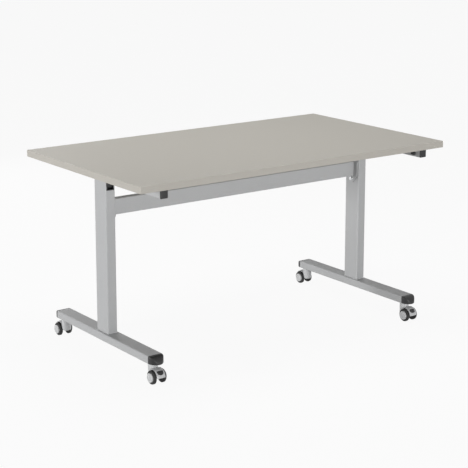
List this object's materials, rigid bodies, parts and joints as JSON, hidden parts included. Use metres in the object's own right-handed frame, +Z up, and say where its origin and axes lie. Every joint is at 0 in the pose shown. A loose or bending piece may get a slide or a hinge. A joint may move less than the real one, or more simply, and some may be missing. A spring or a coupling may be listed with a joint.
{
  "type": "flip top training table",
  "caption": "Rectangular laminate table top on steel T-legs with a cross beam; the top tilts from level to upright about the column heads and the frame rolls on braked twin-wheel castors.",
  "frame": {"origin": "floor level under the middle of the table top", "axes": "+X along the length, +Y towards the rear edge (the front edge with the latch triggers is at -Y), +Z up"},
  "size_m": [1.4, 0.8, 0.73],
  "materials": {
    "laminate_board": "matt stone-grey laminate on board",
    "edge_band": "matt stone-grey edging",
    "silver_paint": "satin silver powder coat",
    "black_plastic": "fine-grained black moulding",
    "black_steel": "satin black",
    "zinc_steel": "bright zinc plate",
    "grey_plastic": "light-grey moulding",
    "soft_tyre": "matt dark soft tread"
  },
  "bodies": {
    "frame": {"column_left": "silver_paint", "pivot_block_left": "black_plastic", "pivot_pin_left": "zinc_steel", "latch_keeper_left": "zinc_steel", "foot_left": "silver_paint", "foot_cap_front_left": "black_plastic", "foot_cap_rear_left": "black_plastic", "beam_plate_left": "silver_paint", "beam_bolt_left": "zinc_steel", "column_right": "silver_paint", "pivot_block_right": "black_plastic", "pivot_pin_right": "zinc_steel", "latch_keeper_right": "zinc_steel", "foot_right": "silver_paint", "foot_cap_front_right": "black_plastic", "foot_cap_rear_right": "black_plastic", "beam_plate_right": "silver_paint", "beam_bolt_right": "zinc_steel", "cross_beam": "silver_paint"},
    "top": {"table_top": "laminate_board", "edge_band": "edge_band", "bearer_left": "silver_paint", "bearer_cap_front_left": "black_plastic", "bearer_cap_rear_left": "black_plastic", "hinge_lug_left": "black_steel", "latch_guide_left": "black_plastic", "bearer_right": "silver_paint", "bearer_cap_front_right": "black_plastic", "bearer_cap_rear_right": "black_plastic", "hinge_lug_right": "black_steel", "latch_guide_right": "black_plastic"},
    "latch_left": {"latch_bolt_left": "zinc_steel", "latch_trigger_left": "black_plastic"},
    "latch_right": {"latch_bolt_right": "zinc_steel", "latch_trigger_right": "black_plastic"},
    "castor_front_left": {"castor_body_front_left": "grey_plastic"},
    "brake_front_left": {"brake_lever_front_left": "black_plastic"},
    "wheel_a_front_left": {"wheel_hub_a_front_left": "grey_plastic", "wheel_tyre_a_front_left": "soft_tyre"},
    "wheel_b_front_left": {"wheel_hub_b_front_left": "grey_plastic", "wheel_tyre_b_front_left": "soft_tyre"},
    "castor_rear_left": {"castor_body_rear_left": "grey_plastic"},
    "brake_rear_left": {"brake_lever_rear_left": "black_plastic"},
    "wheel_a_rear_left": {"wheel_hub_a_rear_left": "grey_plastic", "wheel_tyre_a_rear_left": "soft_tyre"},
    "wheel_b_rear_left": {"wheel_hub_b_rear_left": "grey_plastic", "wheel_tyre_b_rear_left": "soft_tyre"},
    "castor_front_right": {"castor_body_front_right": "grey_plastic"},
    "brake_front_right": {"brake_lever_front_right": "black_plastic"},
    "wheel_a_front_right": {"wheel_hub_a_front_right": "grey_plastic", "wheel_tyre_a_front_right": "soft_tyre"},
    "wheel_b_front_right": {"wheel_hub_b_front_right": "grey_plastic", "wheel_tyre_b_front_right": "soft_tyre"},
    "castor_rear_right": {"castor_body_rear_right": "grey_plastic"},
    "brake_rear_right": {"brake_lever_rear_right": "black_plastic"},
    "wheel_a_rear_right": {"wheel_hub_a_rear_right": "grey_plastic", "wheel_tyre_a_rear_right": "soft_tyre"},
    "wheel_b_rear_right": {"wheel_hub_b_rear_right": "grey_plastic", "wheel_tyre_b_rear_right": "soft_tyre"}
  },
  "joints": [
    {"name": "top_tilt", "type": "hinge", "parent": "frame", "child": "top", "pos_m": [0, -0.024, 0.655], "axis": [1, 0, 0], "range_deg": [0, 90]},
    {"name": "latch_left_slide", "type": "slide", "parent": "top", "child": "latch_left", "axis": [0, 1, 0], "range_m": [0, 0.012]},
    {"name": "latch_right_slide", "type": "slide", "parent": "top", "child": "latch_right", "axis": [0, 1, 0], "range_m": [0, 0.012]},
    {"name": "castor_front_left_swivel", "type": "hinge", "parent": "frame", "child": "castor_front_left", "pos_m": [-0.6, -0.308, 0.05], "axis": [0, 0, 1], "continuous": true},
    {"name": "wheel_a_front_left_roll", "type": "hinge", "parent": "castor_front_left", "child": "wheel_a_front_left", "pos_m": [-0.6, -0.332, 0.025], "axis": [1, 0, 0], "continuous": true},
    {"name": "wheel_b_front_left_roll", "type": "hinge", "parent": "castor_front_left", "child": "wheel_b_front_left", "pos_m": [-0.6, -0.332, 0.025], "axis": [1, 0, 0], "continuous": true},
    {"name": "brake_front_left_press", "type": "hinge", "parent": "castor_front_left", "child": "brake_front_left", "pos_m": [-0.6, -0.34831, 0.04664], "axis": [1, 0, 0], "range_deg": [0, 10]},
    {"name": "castor_rear_left_swivel", "type": "hinge", "parent": "frame", "child": "castor_rear_left", "pos_m": [-0.6, 0.308, 0.05], "axis": [0, 0, 1], "continuous": true},
    {"name": "wheel_a_rear_left_roll", "type": "hinge", "parent": "castor_rear_left", "child": "wheel_a_rear_left", "pos_m": [-0.6, 0.332, 0.025], "axis": [1, 0, 0], "continuous": true},
    {"name": "wheel_b_rear_left_roll", "type": "hinge", "parent": "castor_rear_left", "child": "wheel_b_rear_left", "pos_m": [-0.6, 0.332, 0.025], "axis": [1, 0, 0], "continuous": true},
    {"name": "brake_rear_left_press", "type": "hinge", "parent": "castor_rear_left", "child": "brake_rear_left", "pos_m": [-0.6, 0.34831, 0.04664], "axis": [-1, 0, 0], "range_deg": [0, 10]},
    {"name": "castor_front_right_swivel", "type": "hinge", "parent": "frame", "child": "castor_front_right", "pos_m": [0.6, -0.308, 0.05], "axis": [0, 0, 1], "continuous": true},
    {"name": "wheel_a_front_right_roll", "type": "hinge", "parent": "castor_front_right", "child": "wheel_a_front_right", "pos_m": [0.6, -0.332, 0.025], "axis": [1, 0, 0], "continuous": true},
    {"name": "wheel_b_front_right_roll", "type": "hinge", "parent": "castor_front_right", "child": "wheel_b_front_right", "pos_m": [0.6, -0.332, 0.025], "axis": [1, 0, 0], "continuous": true},
    {"name": "brake_front_right_press", "type": "hinge", "parent": "castor_front_right", "child": "brake_front_right", "pos_m": [0.6, -0.34831, 0.04664], "axis": [1, 0, 0], "range_deg": [0, 10]},
    {"name": "castor_rear_right_swivel", "type": "hinge", "parent": "frame", "child": "castor_rear_right", "pos_m": [0.6, 0.308, 0.05], "axis": [0, 0, 1], "continuous": true},
    {"name": "wheel_a_rear_right_roll", "type": "hinge", "parent": "castor_rear_right", "child": "wheel_a_rear_right", "pos_m": [0.6, 0.332, 0.025], "axis": [1, 0, 0], "continuous": true},
    {"name": "wheel_b_rear_right_roll", "type": "hinge", "parent": "castor_rear_right", "child": "wheel_b_rear_right", "pos_m": [0.6, 0.332, 0.025], "axis": [1, 0, 0], "continuous": true},
    {"name": "brake_rear_right_press", "type": "hinge", "parent": "castor_rear_right", "child": "brake_rear_right", "pos_m": [0.6, 0.34831, 0.04664], "axis": [-1, 0, 0], "range_deg": [0, 10]}
  ]
}
